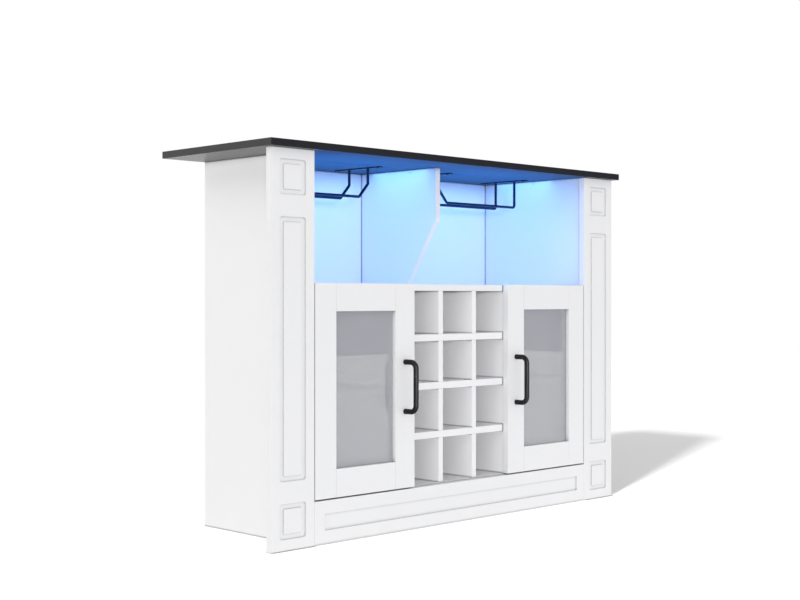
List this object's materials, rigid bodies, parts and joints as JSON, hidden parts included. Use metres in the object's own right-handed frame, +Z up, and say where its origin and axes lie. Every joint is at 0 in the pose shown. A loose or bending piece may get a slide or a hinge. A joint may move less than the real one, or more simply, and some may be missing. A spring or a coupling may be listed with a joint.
{
  "type": "wine sideboard",
  "caption": "White sideboard with glazed cupboards beside a bottle rack, lit open bays with stemware racks above, routed pilasters and a black top.",
  "frame": {"origin": "on the floor, under the middle of the bounding box", "axes": "+X along the front to the right, +Y from the front to the back, +Z up"},
  "size_m": [1.359, 0.4729, 0.98],
  "materials": {
    "white_board": "satin white melamine and paint",
    "black_top": "semi-gloss black laminate",
    "black_metal": "black powder coat",
    "hinge_steel": "nickel-plated steel",
    "grey_glass": "grey tinted float glass",
    "clear_bead": "translucent plastic",
    "light_strip": "blue lit diffuser"
  },
  "bodies": {
    "cabinet": {"bottom_panel": "white_board", "deck": "white_board", "front_plinth": "white_board", "rear_plinth": "white_board", "top_slab": "black_top", "upper_back_panel": "white_board", "lower_back_panel": "white_board", "upper_divider": "white_board", "rack_divider_left": "white_board", "rack_divider_right": "white_board", "rack_shelf_lower": "white_board", "rack_shelf_middle": "white_board", "rack_shelf_upper": "white_board", "left_side_panel": "white_board", "left_pilaster": "white_board", "left_partition": "white_board", "left_cupboard_shelf": "white_board", "left_shelf_pin_outer_front": "hinge_steel", "left_shelf_pin_outer_back": "hinge_steel", "left_shelf_pin_inner_front": "hinge_steel", "left_shelf_pin_inner_back": "hinge_steel", "left_stem_rack": "black_metal", "left_light_strip": "light_strip", "left_lower_hinge_arm": "hinge_steel", "left_upper_hinge_arm": "hinge_steel", "right_side_panel": "white_board", "right_pilaster": "white_board", "right_partition": "white_board", "right_cupboard_shelf": "white_board", "right_shelf_pin_outer_front": "hinge_steel", "right_shelf_pin_outer_back": "hinge_steel", "right_shelf_pin_inner_front": "hinge_steel", "right_shelf_pin_inner_back": "hinge_steel", "right_stem_rack": "black_metal", "right_light_strip": "light_strip", "right_lower_hinge_arm": "hinge_steel", "right_upper_hinge_arm": "hinge_steel"},
    "left_door": {"left_lower_hinge_cup": "hinge_steel", "left_handle_screw_lower": "hinge_steel", "left_upper_hinge_cup": "hinge_steel", "left_handle_screw_upper": "hinge_steel", "left_door_hinge_stile": "white_board", "left_door_handle_stile": "white_board", "left_door_top_rail": "white_board", "left_door_bottom_rail": "white_board", "left_door_glass": "grey_glass", "left_door_glass_bead": "clear_bead", "left_door_handle": "black_metal"},
    "right_door": {"right_lower_hinge_cup": "hinge_steel", "right_handle_screw_lower": "hinge_steel", "right_upper_hinge_cup": "hinge_steel", "right_handle_screw_upper": "hinge_steel", "right_door_hinge_stile": "white_board", "right_door_handle_stile": "white_board", "right_door_top_rail": "white_board", "right_door_bottom_rail": "white_board", "right_door_glass": "grey_glass", "right_door_glass_bead": "clear_bead", "right_door_handle": "black_metal"}
  },
  "joints": [
    {"name": "left_door_hinge", "type": "hinge", "parent": "cabinet", "child": "left_door", "pos_m": [-0.5075, -0.18075, 0.375], "axis": [0, 0, -1], "range_deg": [0, 95]},
    {"name": "right_door_hinge", "type": "hinge", "parent": "cabinet", "child": "right_door", "pos_m": [0.5075, -0.18075, 0.375], "axis": [0, 0, 1], "range_deg": [0, 95]}
  ]
}
